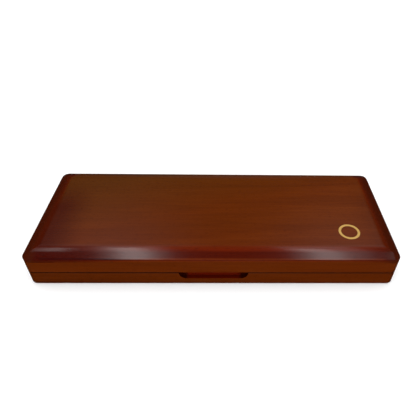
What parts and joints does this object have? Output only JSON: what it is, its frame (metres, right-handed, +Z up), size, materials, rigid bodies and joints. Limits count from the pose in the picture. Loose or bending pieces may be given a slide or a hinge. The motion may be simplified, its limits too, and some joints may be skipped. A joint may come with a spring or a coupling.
{
  "type": "fountain pen case",
  "caption": "Flat lacquered wooden pen case: hinged lid with sloped borders, finger notch at the front, velvet bed with a pen trough and padded lid lining.",
  "frame": {"origin": "on the table, under the middle of the shut case", "axes": "+X along the case to its right end, +Y from the front to the hinges, +Z up"},
  "size_m": [0.22, 0.084, 0.024],
  "materials": {
    "lacquered_wood": "clear gloss lacquer over reddish-brown wood",
    "lip_wood": "satin lacquer",
    "floor_board": "unpolished",
    "baize": "short wool nap",
    "velvet": "short-pile velvet",
    "satin": "padded satin",
    "lining_card": "plain card",
    "hinge_brass": "polished",
    "screw_brass": "polished",
    "inlay_brass": "fine satin",
    "magnet_nickel": "nickel plate",
    "strike_steel": "fine brushed"
  },
  "bodies": {
    "base": {"base_front_rail": "lacquered_wood", "base_back_rail": "lacquered_wood", "base_left_rail": "lacquered_wood", "base_right_rail": "lacquered_wood", "floor_panel": "floor_board", "base_baize": "baize", "front_lip": "lip_wood", "back_lip": "lip_wood", "left_lip": "lip_wood", "right_lip": "lip_wood", "pen_bed": "velvet", "left_base_leaf": "hinge_brass", "right_base_leaf": "hinge_brass", "left_hinge_pin": "hinge_brass", "right_hinge_pin": "hinge_brass", "base_screws": "screw_brass", "left_magnet": "magnet_nickel", "right_magnet": "magnet_nickel"},
    "lid": {"lid_front_rail": "lacquered_wood", "lid_back_rail": "lacquered_wood", "lid_left_rail": "lacquered_wood", "lid_right_rail": "lacquered_wood", "lid_top_panel": "lacquered_wood", "lining_board": "lining_card", "lid_cushion": "satin", "left_lid_leaf": "hinge_brass", "right_lid_leaf": "hinge_brass", "lid_screws": "screw_brass", "left_strike": "strike_steel", "right_strike": "strike_steel", "inlay_ring": "inlay_brass"}
  },
  "joints": [
    {"name": "lid_hinge", "type": "hinge", "parent": "base", "child": "lid", "pos_m": [0, 0.0404, 0.01], "axis": [-1, 0, 0], "range_deg": [0, 95]}
  ]
}
